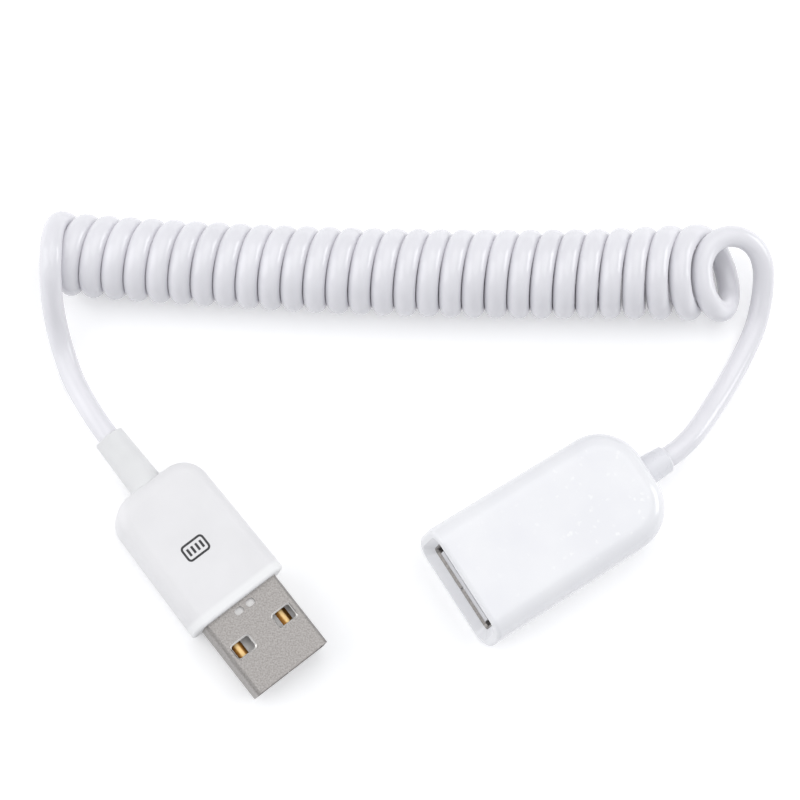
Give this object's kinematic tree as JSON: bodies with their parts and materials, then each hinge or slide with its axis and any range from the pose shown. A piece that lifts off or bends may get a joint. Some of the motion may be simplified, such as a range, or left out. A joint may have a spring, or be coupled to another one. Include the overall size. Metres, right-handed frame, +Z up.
{
  "type": "coiled extension cable",
  "caption": "Curly white extension cable: a coiled cord between a flat metal-nosed plug and a rounded socket, for lengthening a charging or data lead.",
  "frame": {"origin": "middle of the plug's and socket's common box, on the surface that they lie on", "axes": "+Z up, +X from the plug's side to the socket's side, along the coil; +Y towards the coil"},
  "size_m": [0.1046, 0.0674, 0.012],
  "materials": {
    "plug_casing": "satin",
    "socket_casing": "gloss",
    "strain_relief": "matte",
    "socket_sleeve": "satin",
    "plug_metal": "satin",
    "socket_metal": "satin",
    "gold_contact": "polished",
    "plug_insulator": "satin",
    "socket_insulator": "satin",
    "inner_mould": "matte",
    "wire_red": "satin",
    "wire_white": "satin",
    "wire_green": "satin",
    "wire_black": "satin",
    "cord_jacket": "gloss"
  },
  "bodies": {
    "root": {"plug_housing": "plug_casing", "socket_housing": "socket_casing", "plug_strain_relief": "strain_relief", "socket_strain_relief": "socket_sleeve", "plug_shell": "plug_metal", "socket_shell": "socket_metal", "plug_insulator": "plug_insulator", "socket_insulator": "socket_insulator", "plug_inner_mould": "inner_mould", "socket_inner_mould": "inner_mould", "lead_plug": "cord_jacket", "coil": "cord_jacket", "lead_socket": "cord_jacket", "plug_contact_1": "gold_contact", "plug_contact_2": "gold_contact", "plug_contact_3": "gold_contact", "plug_contact_4": "gold_contact", "plug_wire_red": "wire_red", "plug_wire_white": "wire_white", "plug_wire_green": "wire_green", "plug_wire_black": "wire_black", "socket_contact_1": "gold_contact", "socket_contact_2": "gold_contact", "socket_contact_3": "gold_contact", "socket_contact_4": "gold_contact", "socket_wire_red": "wire_red", "socket_wire_white": "wire_white", "socket_wire_green": "wire_green", "socket_wire_black": "wire_black"}
  },
  "joints": []
}
